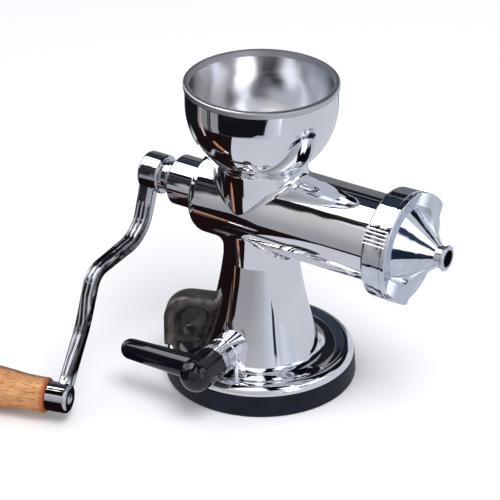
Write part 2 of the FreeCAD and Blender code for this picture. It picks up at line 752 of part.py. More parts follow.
def screw_hole(i, clearance_depth):
    x, y = screw_place(i)
    return rod_z(SCREW_R, PLATE_Z - 1, PLATE_Z + 2 + clearance_depth, x, y)


def base_plate():
    """Steel plate over the rubber; its middle hole guides the stem."""
    plate = turn_upright(rounded(upright, [
        (0, PLATE_Z, 0), (PLATE_R, PLATE_Z, 0.5), (PLATE_R, PAD_TOP_Z, 0.5), (0, PAD_TOP_Z, 0)]))
    holes = [screw_hole(i, 6) for i in range(SCREW_COUNT)]
    return plate.cut(holes + [rod_z(STEM_R + RUNNING_GAP, 0, PAD_TOP_Z + 1)])


def base_screws():
    """Pan-head screws up through the plate into the flange."""
    screws = []
    for i in range(SCREW_COUNT):
        x, y = screw_place(i)
        shank = rod_z(SCREW_R, PLATE_Z, PLATE_Z + 8, x, y)
        head = rod_z(4.6, PLATE_Z - 2.6, PLATE_Z, x, y)
        recess = block((x - 2.6, x + 2.6), (y - 0.5, y + 0.5), (PLATE_Z - 3, PLATE_Z - 1.4))
        screws.append(shank.fuse(head).cut(recess))
    return Part.Compound(screws)


# ---- Suction lever ---------------------------------------------------------------------------
def lever_bush():
    """Chrome bush, ribbed next to the handle and plain next to the pedestal's boss, pressed into it."""
    collar = rod_y(LEVER_BUSH_R - 0.7, LEVER_BUSH_Y, LEVER_BOSS_Y)
    ribs = []
    rib_count = 24
    rib_end = LEVER_BUSH_Y + LEVER_RIB_LENGTH
    for i in range(rib_count):
        angle = 2 * math.pi * i / rib_count
        x = (LEVER_BUSH_R - 0.8) * math.cos(angle)
        z = LEVER_Z + (LEVER_BUSH_R - 0.8) * math.sin(angle)
        ribs.append(rod_y(0.8, LEVER_BUSH_Y + 1.0, rib_end, x, z))
    end_rings = [rod_y(LEVER_BUSH_R, LEVER_BUSH_Y, LEVER_BUSH_Y + 1.0),
                 rod_y(LEVER_BUSH_R, rib_end, LEVER_BOSS_Y)]
    spigot = rod_y(LEVER_SPIGOT_R, LEVER_BOSS_Y, -34)
    bush = collar.fuse(ribs + end_rings + [spigot])
    return bush.cut(rod_y(CAM_R + RUNNING_GAP, LEVER_BUSH_Y - 1, -33))


def cam_shaft():
    """Shaft with an eccentric pin in its middle, which lifts the stem."""
    near = rod_y(CAM_R, LEVER_HUB_Y[1] + 14, -CAM_PIN_HALF)
    far = rod_y(CAM_R, CAM_PIN_HALF, 36)
    pin = rod_y(CAM_PIN_R, -CAM_PIN_HALF, CAM_PIN_HALF, 0, LEVER_Z - CAM_THROW)
    groove = rod_y(CAM_R + 1, -33.4, -32.0).cut(rod_y(CAM_R - 0.9, -34, -31))
    return near.fuse([far, pin]).cut(groove)


def retaining_clip():
    """Open ring in the shaft's groove, inside the pedestal wall."""
    ring = rod_y(CAM_R + 2.6, -33.3, -32.1).cut(rod_y(CAM_R - 0.9, -34, -31))
    gap = block((-3.2, 3.2), (-34, -31), (LEVER_Z, LEVER_Z + 12))
    return ring.cut(gap)


def lever_handle():
    """Moulded lever: a round hub with a domed end and a club-shaped arm."""
    hub_near, hub_far = LEVER_HUB_Y

    def place(reach, radius):
        return V(radius, reach, LEVER_Z)

    hub = Part.Face(outline(place, (hub_near, 0), [
        (hub_near, LEVER_HUB_R - 1.2),
        ((hub_near - 0.35, LEVER_HUB_R - 0.35), (hub_near - 1.2, LEVER_HUB_R)),
        (hub_far + LEVER_HUB_DOME, LEVER_HUB_R),
        dome(hub_far + LEVER_HUB_DOME, LEVER_HUB_R, -LEVER_HUB_DOME),
    ])).revolve(V(0, 0, LEVER_Z), V(0, 1, 0), 360)
    root_r, tip_r = LEVER_ARM_R

    def arm_place(x, radius):
        return V(x, LEVER_ARM_Y, LEVER_Z + radius)

    tip = LEVER_ARM_TIP_X
    arm = Part.Face(outline(arm_place, (0, 0), [
        (0, root_r),
        (tip, tip_r),
        dome(tip, tip_r, -tip_r),
    ])).revolve(V(0, LEVER_ARM_Y, LEVER_Z), V(1, 0, 0), 360)
    arm.rotate(V(0, 0, LEVER_Z), V(0, 1, 0), -LEVER_ARM_DROOP)
    bore = rod_y(CAM_R, hub_far + 14, hub_near + 1)
    return hub.fuse(arm).cut([bore, set_screw_form()])


def set_screw_form():
    return rod_z(1.6, LEVER_Z - LEVER_HUB_R, LEVER_Z - CAM_R + 0.001, 0, LEVER_HUB_Y[0] - 8)


def lever_set_screw():
    """Grub screw from below that locks the handle to its shaft."""
    return set_screw_form().common(rod_y(LEVER_HUB_R - 0.6, LEVER_HUB_Y[0] - 12, LEVER_HUB_Y[0] - 4))


def pull_stem():
    """Stem with a slotted head round the eccentric pin and a disc on the diaphragm."""
    disc = turn_upright(rounded(upright, [
        (0, DIAPHRAGM_THICKNESS, 0), (16, DIAPHRAGM_THICKNESS, 0.6), (16, DIAPHRAGM_THICKNESS + 2.4, 0.6),
        (0, DIAPHRAGM_THICKNESS + 2.4, 0)]))
    pin_z = LEVER_Z - CAM_THROW
    rod = rod_z(STEM_R, DIAPHRAGM_THICKNESS + 2, pin_z - 6)
    head = block((-9, 9), (-4.6, 4.6), (pin_z - 8, pin_z + 8))
    slot_half_x = CAM_THROW + CAM_PIN_R + STEM_SLOT_PLAY
    slot_half_z = CAM_PIN_R + STEM_SLOT_PLAY
    slot = block((-slot_half_x, slot_half_x), (-6, 6), (pin_z - slot_half_z, pin_z + slot_half_z))
    return disc.fuse([rod, head]).cut(slot)


# ---- Write every piece -----------------------------------------------------------------------
def pieces():
    hopper, barrel, pedestal = body_castings()
    return {
        "hopper": hopper,
        "barrel": barrel,
        "pedestal": pedestal,
        "clamp_lug": clamp_lug(),
        "rear_bush": rear_bush(),
        "juice_screen": screen(),
        "suction_pad": suction_pad(),
        "pad_diaphragm": pad_diaphragm(),
        "base_plate": base_plate(),
        "base_screws": base_screws(),
        "lever_bush": lever_bush(),
        "auger": auger(),
        "thrust_washer": thrust_washer(),
        "crank_arm": crank_arm(),
        "crank_lock_screw": crank_lock_screw(),
        "grip_bolt": grip_bolt(),
        "grip_nut": grip_nut(),
        "wooden_grip": wooden_grip(),
        "cap_seal": cap_seal(),
        "front_cap": front_cap(),
        "cam_shaft": cam_shaft(),
        "retaining_clip": retaining_clip(),
        "lever_handle": lever_handle(),
        "lever_set_screw": lever_set_screw(),
        "pull_stem": pull_stem(),
    }


os.makedirs("parts", exist_ok=True)
for name, shape in pieces().items():
    shape.exportStep("parts/" + name + ".step")
    print(name, "solids", len(shape.Solids), "valid", shape.isValid(), "volume", round(shape.Volume))
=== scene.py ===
import math

import bpy
from mathutils import Matrix, Vector


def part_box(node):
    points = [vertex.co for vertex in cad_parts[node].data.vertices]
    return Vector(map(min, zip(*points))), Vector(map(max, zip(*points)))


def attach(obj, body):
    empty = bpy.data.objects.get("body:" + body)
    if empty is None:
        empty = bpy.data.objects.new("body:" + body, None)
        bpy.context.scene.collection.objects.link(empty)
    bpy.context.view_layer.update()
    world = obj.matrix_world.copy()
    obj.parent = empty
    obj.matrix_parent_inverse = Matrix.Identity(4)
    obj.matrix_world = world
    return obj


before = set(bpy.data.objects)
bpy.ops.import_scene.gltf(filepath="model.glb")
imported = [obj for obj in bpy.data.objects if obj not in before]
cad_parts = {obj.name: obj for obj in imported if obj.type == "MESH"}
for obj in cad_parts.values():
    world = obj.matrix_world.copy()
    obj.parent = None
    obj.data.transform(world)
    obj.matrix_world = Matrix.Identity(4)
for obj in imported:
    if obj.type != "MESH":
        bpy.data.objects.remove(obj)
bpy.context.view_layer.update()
scene = bpy.context.scene
MM = 0.001


# ---- Studio ------------------------------------------------------------------------------------
# A product table: a pale matt floor, a long-lens camera that looks down at the lever's side, and a
# surround of light cards and black flags. Only reflections see the surround, and its edges draw the
# streaks on the polished steel; everything matt is lit by plain soft white.
class Wire:
    """A node's output that takes part in sums, products and comparisons."""

    def __init__(self, tree, socket):
        self.tree = tree
        self.socket = socket

    def math(self, operation, *values):
        node = self.tree.nodes.new("ShaderNodeMath")
        node.operation = operation
        for place, value in enumerate(values):
            plug(self.tree, node.inputs[place], value)
        return Wire(self.tree, node.outputs[0])

    def __add__(self, other):
        return self.math("ADD", self, other)

    def __radd__(self, other):
        return self.math("ADD", other, self)

    def __sub__(self, other):
        return self.math("SUBTRACT", self, other)

    def __rsub__(self, other):
        return self.math("SUBTRACT", other, self)

    def __mul__(self, other):
        return self.math("MULTIPLY", self, other)

    def __rmul__(self, other):
        return self.math("MULTIPLY", other, self)

    def least(self, other):
        return self.math("MINIMUM", self, other)

    def most(self, other):
        return self.math("MAXIMUM", self, other)

    def power(self, other):
        return self.math("POWER", self, other)

    def sine(self):
        return self.math("SINE", self)

    def step(self, low, high):
        """A smooth rise from 0 at low to 1 at high."""
        node = self.tree.nodes.new("ShaderNodeMapRange")
        node.interpolation_type = "SMOOTHSTEP"
        plug(self.tree, node.inputs["Value"], self)
        node.inputs["From Min"].default_value = low
        node.inputs["From Max"].default_value = high
        return Wire(self.tree, node.outputs["Result"])

    def band(self, low, high, edge):
        """1 between low and high, falling to 0 within edge on both sides of each."""
        return self.step(low - edge, low + edge) * (1 - self.step(high - edge, high + edge))


def plug(tree, socket, value):
    if isinstance(value, Wire):
        tree.links.new(value.socket, socket)
    else:
        socket.default_value = value


def add_node(tree, kind, settings=None, output=0, **values):
    """Makes a node with its settings, plugs values into its sockets and gives back one output."""
    node = tree.nodes.new(kind)
    for name, value in (settings or {}).items():
        setattr(node, name, value)
    for name, value in values.items():
        plug(tree, node.inputs[name.replace("_", " ")], value)
    return Wire(tree, node.outputs[output])


def split(tree, vector):
    node = tree.nodes.new("ShaderNodeSeparateXYZ")
    plug(tree, node.inputs[0], vector)
    return [Wire(tree, out) for out in node.outputs]


def mix_colour(tree, factor, first, second):
    node = tree.nodes.new("ShaderNodeMix")
    node.data_type = "RGBA"
    plug(tree, node.inputs[0], factor)
    plug(tree, node.inputs[6], first)
    plug(tree, node.inputs[7], second)
    return Wire(tree, node.outputs[2])


def colour(code, strength=1.0):
    """A linear colour from a screen colour such as 'c98f5a'."""
    screen = [int(code[i:i + 2], 16) / 255 for i in (0, 2, 4)]
    linear = [part / 12.92 if part <= 0.04045 else ((part + 0.055) / 1.055) ** 2.4 for part in screen]
    return [strength * part for part in linear] + [1.0]


VIEW_AZIMUTH = math.radians(32.91)
VIEW_ELEVATION = math.radians(28.69)
VIEW_DISTANCE = 1.79913
VIEW_TARGET = Vector((-0.00997, 0.0, 0.09909))
away = Vector((math.sin(VIEW_AZIMUTH) * math.cos(VIEW_ELEVATION),
               -math.cos(VIEW_AZIMUTH) * math.cos(VIEW_ELEVATION),
               math.sin(VIEW_ELEVATION)))
camera_data = bpy.data.cameras.new("camera")
camera_data.sensor_width = 36.0
camera_data.lens = 172.8
camera_data.clip_end = 20.0
camera = bpy.data.objects.new("camera", camera_data)
camera.location = VIEW_TARGET + away * VIEW_DISTANCE
camera.rotation_euler = away.to_track_quat("Z", "Y").to_euler()
scene.collection.objects.link(camera)
scene.camera = camera
scene.view_settings.view_transform = "Standard"


def surround(sky):
    """What the steel reflects, painted by direction in degrees: height above the horizon, and bearing
    from the crank's side (0) round by the lever (90) to the nozzle (180); the far side is negative.
    Each coat lies over the ones before it."""
    degree = 180 / math.pi
    to_nozzle, to_far, to_top = split(sky, add_node(sky, "ShaderNodeTexCoord"))
    height = to_top.math("ARCSINE", to_top) * degree
    bearing = to_far.math("ARCTAN2", 0 - to_far, 0 - to_nozzle) * degree
    ripple = add_node(sky, "ShaderNodeTexNoise", dict(noise_dimensions="1D"),
                      W=bearing * 0.045, Scale=1.0, Detail=1.0)
    wobble = (add_node(sky, "ShaderNodeTexNoise", Scale=2.3, Detail=3.0) - 0.5) * 9
    table_line = height.step(-31.5, -30.5)
    picture = [mix_colour(sky, ripple.step(0.35, 0.65), colour("b9c0cc", 1.16), colour("c9ced8", 1.18))]

    def paint(mask, code, strength=1.22):
        picture[0] = mix_colour(sky, mask, picture[0], colour(code, strength))

    # Front card, brighter upwards and towards the nozzle.
    front = bearing.step(36, 38) * (1 - bearing.step(95, 150)) * (1 - height.step(39, 40.5))
    paint(front, "939499")
    paint(front * height.step(-16, 32), "c1c0c1")
    paint(front * height.band(35, 40, 1.5), "dbd9db", 1.3)
    paint(bearing.band(148, 178, 3) * height.band(-17, -9, 2), "939ba8")
    # The table's surface farther off, and on the far side a grey card and a dark rail.
    paint(1 - height.step(-33, -31), "bdc0c8")
    paint(bearing.band(-78, -50, 3) * height.step(-40, -30) * (1 - height.step(52, 56)), "6c6e73")
    paint(bearing.band(-128, -50, 3) * height.band(25, 38, 1.5), "202128", 1.0)
    # The dark room on the crank's side, with what little stands in it.
    room = bearing.band(-50, 37.5, 1.2) * (height + wobble).step(-66, -58)
    below_table = (bearing - (height + 31) * 0.6).band(-36, 77.5, 0.7) * (1 - table_line)
    room = room.most(below_table)
    paint(room, "18171c", 1.0)
    paint(room * (1 - height.step(-38, -30)), "1b1114", 1.0)
    paint(room * bearing.band(36, 58, 5) * height.band(-52, -34, 5), "3a2324", 1.0)
    calm = bearing + wobble * 0.4
    paint(room * calm.band(41, 53, 1.0) * height.band(-40, -24, 2), "8a898d")
    paint(room * calm.band(13, 34, 1.5) * (height + wobble * 0.4).band(-30, -23, 2), "7d7c7e")
    upright = (bearing + wobble * 0.3).band(17, 22, 1) * (height + wobble * 0.5).band(-58, -26, 5)
    paint(room * upright, "c2b2b2")
    loose = bearing + wobble * 0.5
    paint(room * loose.band(13, 26, 1.5) * height.band(-21, -4, 3), "9c9ca0")
    paint(room * loose.band(-22, -7, 3) * height.band(-18, -6, 3), "77787d")
    window = (bearing + wobble * 0.8).band(-38, -20, 4) * (height + wobble).band(-47, -33, 3)
    paint(room * window, "e4e6ee", 1.4)
    # The black gap between the table and the card, which ends in a slant towards the nozzle.
    gap = table_line * (1 - height.step(-24.8, -24.2))
    corner = bearing - (height + 31) * 4.2
    paint(gap * bearing.step(53, 56) * (1 - corner.step(106, 108)), "131419", 1.0)
    paint(gap * bearing.step(37, 39) * (1 - bearing.step(40, 42)), "08080b", 1.0)
    paint(gap * bearing.band(41, 54, 1.0), "8a898d")
    # White patches on both sides of the nozzle's bearing, and a navy strip.
    paint(bearing.band(149, 166, 3) * height.band(-26.5, -20, 2), "f0f1f8", 1.35)
    paint((bearing * -1).band(163, 176, 2) * height.band(-28, -20, 2), "eef0f7", 1.35)
    paint((bearing + wobble * 0.3).band(152, 169, 2) * (height + wobble * 0.5).band(4, 28, 1.5),
          "f9fbff", 1.6)
    paint(bearing.band(147.5, 153.5, 0.7) * (height + wobble * 0.4).band(-18.5, 3.5, 1.0), "202b3b", 1.0)
    # The card's dark left edge, as a flag leaning over it, seen by the hub, the collar and the cap.
    high = (height - 8).most(0.0)
    edge = 59.5 - high * high * 0.0048
    flag = (edge - bearing).step(-0.4, 0.4) * (height + (58.5 - bearing) * 0.5 + 6).step(-1.5, 1.5)
    flag = flag * bearing.step(36, 38) * (1 - height.step(46, 48))
    paint(flag, "1d1d20", 1.0)
    paint(flag * height.band(29, 34, 1.5), "55565a", 1.0)
    paint(flag * height.band(-6, 24, 3) * wobble.step(-1, 1.5), "43454a", 1.0)
    # The black above the cards, with a leaning white sheet and a softbox.
    paint((height + wobble * 0.5).step(40, 42) * (1 - flag), "0a0a12")
    leaning = height - bearing * 0.56
    paint(leaning.band(8, 62, 1.2) * bearing.band(-22, 34, 2) * height.band(-14, 54, 3), "f6f8ff", 1.9)
    paint((leaning + wobble * 0.5).band(-2, 1.5, 1.0) * bearing.band(-42, 30, 5), "d9dbe2", 1.4)
    softbox = (height + (bearing - 41).most(0.0) * 0.9).band(46, 68, 1.0) * bearing.band(-23, 46, 1.5)
    paint(softbox, "ffffff", 4.5)
    # High cards all round, with dark slots between them.
    ragged = height + wobble
    paint(bearing.band(-50, -25, 2) * ragged.band(22, 60, 4), "343b48", 1.0)
    paint(ragged.band(41, 88, 2) * bearing.band(84, 132, 4), "e9edf5", 1.5)
    paint(ragged.band(30, 62, 2) * (bearing.step(150, 156) + 1 - bearing.step(-150, -144)), "f4f7ff", 1.6)
    far_nozzle = bearing.step(169, 171) + 1 - bearing.step(-176, -172)
    paint(far_nozzle * (height + wobble * 0.3).band(28.5, 36.5, 1.0), "36405a", 1.0)
    paint(ragged.band(38, 50, 1.5) * bearing.band(-90, -60, 5), "8d8e97")
    paint((height + wobble * 0.4).band(22, 46, 1.5) * bearing.band(-129, -88, 2), "15161c", 1.0)
    return picture[0]


world = bpy.data.worlds.new("studio")
scene.world = world
world.use_nodes = True
sky = world.node_tree
sky.nodes.clear()
reflected = add_node(sky, "ShaderNodeBackground", Color=surround(sky), Strength=1.0)
plain = add_node(sky, "ShaderNodeBackground", Color=colour("f7f8fc"), Strength=0.95)
ray = sky.nodes.new("ShaderNodeLightPath")
which = sky.nodes.new("ShaderNodeMixShader")
plug(sky, which.inputs[0], Wire(sky, ray.outputs["Is Glossy Ray"]))
plug(sky, which.inputs[1], plain)
plug(sky, which.inputs[2], reflected)
world_out = sky.nodes.new("ShaderNodeOutputWorld")
plug(sky, world_out.inputs[0], Wire(sky, which.outputs[0]))

key_data = bpy.data.lights.new("key", "AREA")
key_data.energy = 9.0
key_data.size = 0.7
key = bpy.data.objects.new("key", key_data)
key.location = (0.45, -0.35, 1.25)
key.rotation_euler = Vector(key.location).to_track_quat("Z", "Y").to_euler()
key.visible_glossy = False
scene.collection.objects.link(key)


def new_finish(name, base, metallic=0.0, roughness=0.5, coat=0.0):
    """A material with its shader; gives back the material, its tree and the shader."""
    material = bpy.data.materials.new(name)
    material.use_nodes = True
    shader = material.node_tree.nodes["Principled BSDF"]
    shader.inputs["Base Color"].default_value = base
    shader.inputs["Metallic"].default_value = metallic
    shader.inputs["Roughness"].default_value = roughness
    shader.inputs["Coat Weight"].default_value = coat
    return material, material.node_tree, shader


def sheet(name, corners):
    """A flat stage sheet on the table's level, facing up."""
    mesh = bpy.data.meshes.new(name)
    mesh.from_pydata([(x, y, 0) for x, y in corners], [], [tuple(range(len(corners)))])
    piece = bpy.data.objects.new(name, mesh)
    scene.collection.objects.link(piece)
    return piece


def only_reflected(piece, glow):
    """Lets only reflections see a stage sheet, as an even glow."""
    for kind in ("camera", "diffuse", "transmission", "shadow", "volume_scatter"):
        setattr(piece, "visible_" + kind, False)
    material, _, shader = new_finish(piece.name, colour("000000"), roughness=1.0)
    shader.inputs["Specular IOR Level"].default_value = 0.0
    shader.inputs["Emission Color"].default_value = glow
    shader.inputs["Emission Strength"].default_value = 1.0
    piece.data.materials.append(material)


FLOOR_REACH = 6.0
TABLE_EDGE_X = -0.068
floor = sheet("floor", [(-FLOOR_REACH, -FLOOR_REACH), (FLOOR_REACH, -FLOOR_REACH),
                        (FLOOR_REACH, FLOOR_REACH), (-FLOOR_REACH, FLOOR_REACH)])
floor.visible_glossy = False
floor_finish, _, _ = new_finish("studio_floor", colour("f6f6f8"), roughness=0.9)
floor.data.materials.append(floor_finish)
# The light table under the juicer as the steel sees it, and the dark drop past the table's edge.
table_seen = sheet("table_seen", [(TABLE_EDGE_X, -0.26), (0.6, -0.26), (0.6, 0.5), (TABLE_EDGE_X, 0.5)])
only_reflected(table_seen, colour("bec1c9", 1.24))
drop_seen = sheet("drop_seen", [(TABLE_EDGE_X, -0.27), (TABLE_EDGE_X, 0.2), (-0.28, 0.2), (-0.28, -0.3),
                                (-0.21, -0.37), (-0.13, -0.28)])
only_reflected(drop_seen, colour("1b1114"))


# ---- Bowl, barrel and pedestal -----------------------------------------------------------------
# One polished steel body, welded at the neck and the waist and buffed to a mirror, so it is slightly
# wavy and has faint buffing haze. The rolled lip is left satin, and the bowl is turned inside.
def dress(node, material):
    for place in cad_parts[node].material_slots:
        place.material = material


def object_place(tree):
    """The point on the object, in metres, as a vector and as its three parts."""
    place = add_node(tree, "ShaderNodeTexCoord", output=3)
    return place, split(tree, place)


def noise(tree, place, scale, detail=2.0):
    return add_node(tree, "ShaderNodeTexNoise", Vector=place, Scale=scale, Detail=detail)


def stretched(tree, parts, factors):
    """A vector with each part multiplied, for grain and brushing that runs one way."""
    node = tree.nodes.new("ShaderNodeCombineXYZ")
    for place, (part, factor) in enumerate(zip(parts, factors)):
        plug(tree, node.inputs[place], part * factor)
    return Wire(tree, node.outputs[0])


def bumped(tree, shader, height, distance, under=None):
    """Plugs a height into the shader's normal; gives back the normal, to lay another under it."""
    node = tree.nodes.new("ShaderNodeBump")
    node.inputs["Distance"].default_value = distance
    node.inputs["Strength"].default_value = 1.0
    plug(tree, node.inputs["Height"], height)
    if under is not None:
        plug(tree, node.inputs["Normal"], under)
    normal = Wire(tree, node.outputs[0])
    plug(tree, shader.inputs["Normal"], normal)
    return normal


def distance_from(tree, first, second):
    return (first.power(2) + second.power(2)).power(0.5)


LIP_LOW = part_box("hopper")[1][2] - 4.6 * MM
BOWL_CENTRE = 224.0 * MM
BOWL_WALL_MIDDLE = 54.3 * MM
THROAT_TOP = 169.0 * MM


def polished_steel():
    material, tree, shader = new_finish("polished_steel", colour("e9eaee"), 1.0, 0.03)
    place, (x, y, z) = object_place(tree)
    below_centre = (z - BOWL_CENTRE).least(0.0)
    from_centre = distance_from(tree, distance_from(tree, x, y), below_centre)
    in_bowl = 1 - from_centre.step(BOWL_WALL_MIDDLE - 0.2 * MM, BOWL_WALL_MIDDLE + 0.2 * MM)
    in_bowl = in_bowl * z.step(THROAT_TOP - 1 * MM, THROAT_TOP + 1 * MM)
    lip = z.step(LIP_LOW - 0.1 * MM, LIP_LOW + 0.2 * MM)
    haze = noise(tree, place, 60, 4.0)
    lines = noise(tree, stretched(tree, (x, y, z), (5, 5, 900)), 1.0, 3.0)
    roughness = 0.022 + haze.step(0.45, 0.8) * 0.03
    roughness = roughness + in_bowl * (0.10 + lines * 0.12)
    roughness = roughness + lip * (0.24 + haze * 0.12)
    plug(tree, shader.inputs["Roughness"], roughness)
    tint = mix_colour(tree, noise(tree, place, 18, 2.0).step(0.3, 0.7), colour("e5e5e9"), colour("efeff1"))
    plug(tree, shader.inputs["Base Color"], mix_colour(tree, lip * 0.8, tint, colour("bfc0c3")))
    wave = bumped(tree, shader, noise(tree, place, 24, 1.0), 0.35 * MM)
    turned = bumped(tree, shader, lines * in_bowl, 0.02 * MM, under=wave)
    bumped(tree, shader, noise(tree, place, 1500, 2.0) * lip, 0.03 * MM, under=turned)
    return material


body_steel = polished_steel()
for name in ("hopper", "barrel", "pedestal"):
    dress(name, body_steel)


# ---- Threads of the barrel and the cap ---------------------------------------------------------
# A coarse single thread cut round the barrel's mouth, with its partner inside the cap, half a turn
# on. Its rise is 3 mm a turn, which is how far the cap moves out when it is unscrewed once round.
AXIS_Z = 141.6 * MM
THREAD_PITCH = 3.0 * MM
THREAD_RIDGE = 0.42 * MM


def thread_group():
    """Geometry nodes: a helix about +Z swept by a small round ridge."""
    group = bpy.data.node_groups.new("thread_ridge", "GeometryNodeTree")
    face = group.interface
    for label in ("Radius", "Pitch", "Turns", "Ridge"):
        face.new_socket(label, in_out="INPUT", socket_type="NodeSocketFloat")
    face.new_socket("Finish", in_out="INPUT", socket_type="NodeSocketMaterial")
    face.new_socket("Geometry", in_out="OUTPUT", socket_type="NodeSocketGeometry")
    given = group.nodes.new("NodeGroupInput")
    helix = group.nodes.new("GeometryNodeCurveSpiral")
    helix.inputs["Resolution"].default_value = 96
    rise = group.nodes.new("ShaderNodeMath")
    rise.operation = "MULTIPLY"
    ridge = group.nodes.new("GeometryNodeCurvePrimitiveCircle")
    ridge.inputs["Resolution"].default_value = 10
    sweep = group.nodes.new("GeometryNodeCurveToMesh")
    sweep.inputs["Fill Caps"].default_value = True
    real = group.nodes.new("GeometryNodeRealizeInstances")
    paint = group.nodes.new("GeometryNodeSetMaterial")
    result = group.nodes.new("NodeGroupOutput")
    join = group.links.new
    join(given.outputs["Turns"], helix.inputs["Rotations"])
    join(given.outputs["Radius"], helix.inputs["Start Radius"])
    join(given.outputs["Radius"], helix.inputs["End Radius"])
    join(given.outputs["Pitch"], rise.inputs[0])
    join(given.outputs["Turns"], rise.inputs[1])
    join(rise.outputs[0], helix.inputs["Height"])
    join(given.outputs["Ridge"], ridge.inputs["Radius"])
    join(helix.outputs[0], sweep.inputs["Curve"])
    join(ridge.outputs[0], sweep.inputs["Profile Curve"])
    join(sweep.outputs[0], real.inputs[0])
    join(real.outputs[0], paint.inputs["Geometry"])
    join(given.outputs["Finish"], paint.inputs["Material"])
    join(paint.outputs[0], result.inputs[0])
    return group


def grown(name, group, body, slot, turn, **values):
    """Runs a node group once, keeps the plain mesh, turned into place, and lets it ride on a body."""
    seed = bpy.data.objects.new(name + "_seed", bpy.data.meshes.new(name + "_seed"))
    scene.collection.objects.link(seed)
    modifier = seed.modifiers.new("grow", "NODES")
    modifier.node_group = group
    for item in group.interface.items_tree:
        if item.in_out == "INPUT" and item.name in values:
            modifier[item.identifier] = values[item.name]
    view = bpy.context.evaluated_depsgraph_get()
    view.update()
    mesh = bpy.data.meshes.new_from_object(seed.evaluated_get(view))
    mesh.transform(turn)
    mesh.name = name
    bpy.data.objects.remove(seed)
    piece = bpy.data.objects.new(name, mesh)
    scene.collection.objects.link(piece)
    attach(piece, body)


thread_nodes = thread_group()
upright_to_axis = Matrix.Translation((0, 0, AXIS_Z)) @ Matrix.Rotation(math.radians(90), 4, "Y")
for name, body, slot, start_x, radius, turns in (
        ("barrel_thread", "housing", "polished_steel", 109.4, 32.4, 4.0),
        ("cap_thread", "cap", "cast_cap", 110.9, 33.0, 3.8)):
    grown(name, thread_nodes, body, slot, Matrix.Translation((start_x * MM, 0, 0)) @ upright_to_axis,
          Radius=radius * MM, Pitch=THREAD_PITCH, Turns=turns, Ridge=THREAD_RIDGE, Finish=body_steel)


# ---- Winged cap --------------------------------------------------------------------------------
# A cast and polished cap: the band and the cone are bright, the scooped wings keep a little of the
# casting's ripple, and fine turning marks run round the band next to its beads. Thin ribs along the
# band, in two groups, give fingers a hold when the cap is unscrewed.
CONE_X = 131.0 * MM
CONE_R = 26.4 * MM
CONE_SLOPE = 1.03
FACE_X = 127.9 * MM


def cast_polish():
    material, tree, shader = new_finish("cast_cap", colour("e4e6eb"), 1.0, 0.08)
    place, (x, y, z) = object_place(tree)
    from_axis = distance_from(tree, y, z - AXIS_Z)
    on_face = x.step(FACE_X - 0.5 * MM, FACE_X + 0.5 * MM)
    patch = noise(tree, place, 90, 5.0)
    past_cone = from_axis + (x - CONE_X) * CONE_SLOPE
    scoops = on_face * past_cone.step(CONE_R + 0.8 * MM, CONE_R + 2.2 * MM)
    roughness = 0.03 + patch.step(0.4, 0.75) * 0.04
    roughness = roughness + scoops * (0.07 + patch * 0.12)
    plug(tree, shader.inputs["Roughness"], roughness)
    tint = mix_colour(tree, patch.step(0.35, 0.7), colour("d3d7e0"), colour("e9eaef"))
    plug(tree, shader.inputs["Base Color"], mix_colour(tree, scoops * 0.7, tint, colour("d2d5dd")))
    ripple = bumped(tree, shader, noise(tree, place, 65, 2.0), 0.28 * MM)
    skin = bumped(tree, shader, noise(tree, place, 700, 3.0) * scoops, 0.035 * MM, under=ripple)
    turning = noise(tree, stretched(tree, (x, y, z), (2200, 8, 8)), 1.0, 2.0)
    bumped(tree, shader, turning * (1 - on_face), 0.012 * MM, under=skin)
    return material


def rib_group():
    """Geometry nodes: round ribs along +Z, side by side on an arc about it."""
    group = bpy.data.node_groups.new("grip_ribs", "GeometryNodeTree")
    face = group.interface
    for label in ("Radius", "Start", "Sweep", "Rib", "Length"):
        face.new_socket(label, in_out="INPUT", socket_type="NodeSocketFloat")
    face.new_socket("Count", in_out="INPUT", socket_type="NodeSocketInt")
    face.new_socket("Finish", in_out="INPUT", socket_type="NodeSocketMaterial")
    face.new_socket("Geometry", in_out="OUTPUT", socket_type="NodeSocketGeometry")
    given = group.nodes.new("NodeGroupInput")
    arc = group.nodes.new("GeometryNodeCurveArc")
    points = group.nodes.new("GeometryNodeCurveToPoints")
    points.mode = "EVALUATED"
    rib = group.nodes.new("GeometryNodeMeshCylinder")
    rib.inputs["Vertices"].default_value = 16
    place = group.nodes.new("GeometryNodeInstanceOnPoints")
    real = group.nodes.new("GeometryNodeRealizeInstances")
    paint = group.nodes.new("GeometryNodeSetMaterial")
    result = group.nodes.new("NodeGroupOutput")
    join = group.links.new
    join(given.outputs["Count"], arc.inputs["Resolution"])
    join(given.outputs["Radius"], arc.inputs["Radius"])
    join(given.outputs["Start"], arc.inputs["Start Angle"])
    join(given.outputs["Sweep"], arc.inputs["Sweep Angle"])
    join(given.outputs["Rib"], rib.inputs["Radius"])
    join(given.outputs["Length"], rib.inputs["Depth"])
    join(arc.outputs[0], points.inputs["Curve"])
    join(points.outputs["Points"], place.inputs["Points"])
    join(rib.outputs["Mesh"], place.inputs["Instance"])
    join(place.outputs[0], real.inputs[0])
    join(real.outputs[0], paint.inputs["Geometry"])
    join(given.outputs["Finish"], paint.inputs["Material"])
    join(paint.outputs[0], result.inputs[0])
    return group


cap_polish = cast_polish()
dress("front_cap", cap_polish)
rib_nodes = rib_group()
CAP_R = 41.2 * MM
BAND_MIDDLE_X = 117.1 * MM
RIB_R = 0.7 * MM
RIB_SUNK = 0.45 * MM
RIB_LENGTH = 17.6 * MM
for side, start in (("front", 231.0), ("far", 51.0)):
    grown("cap_ribs_" + side, rib_nodes, "cap", "cast_cap",
          Matrix.Translation((BAND_MIDDLE_X, 0, 0)) @ upright_to_axis,
          Radius=CAP_R - RIB_SUNK, Start=math.radians(start), Sweep=math.radians(16.0), Rib=RIB_R,
          Length=RIB_LENGTH, Count=5, Finish=cap_polish)


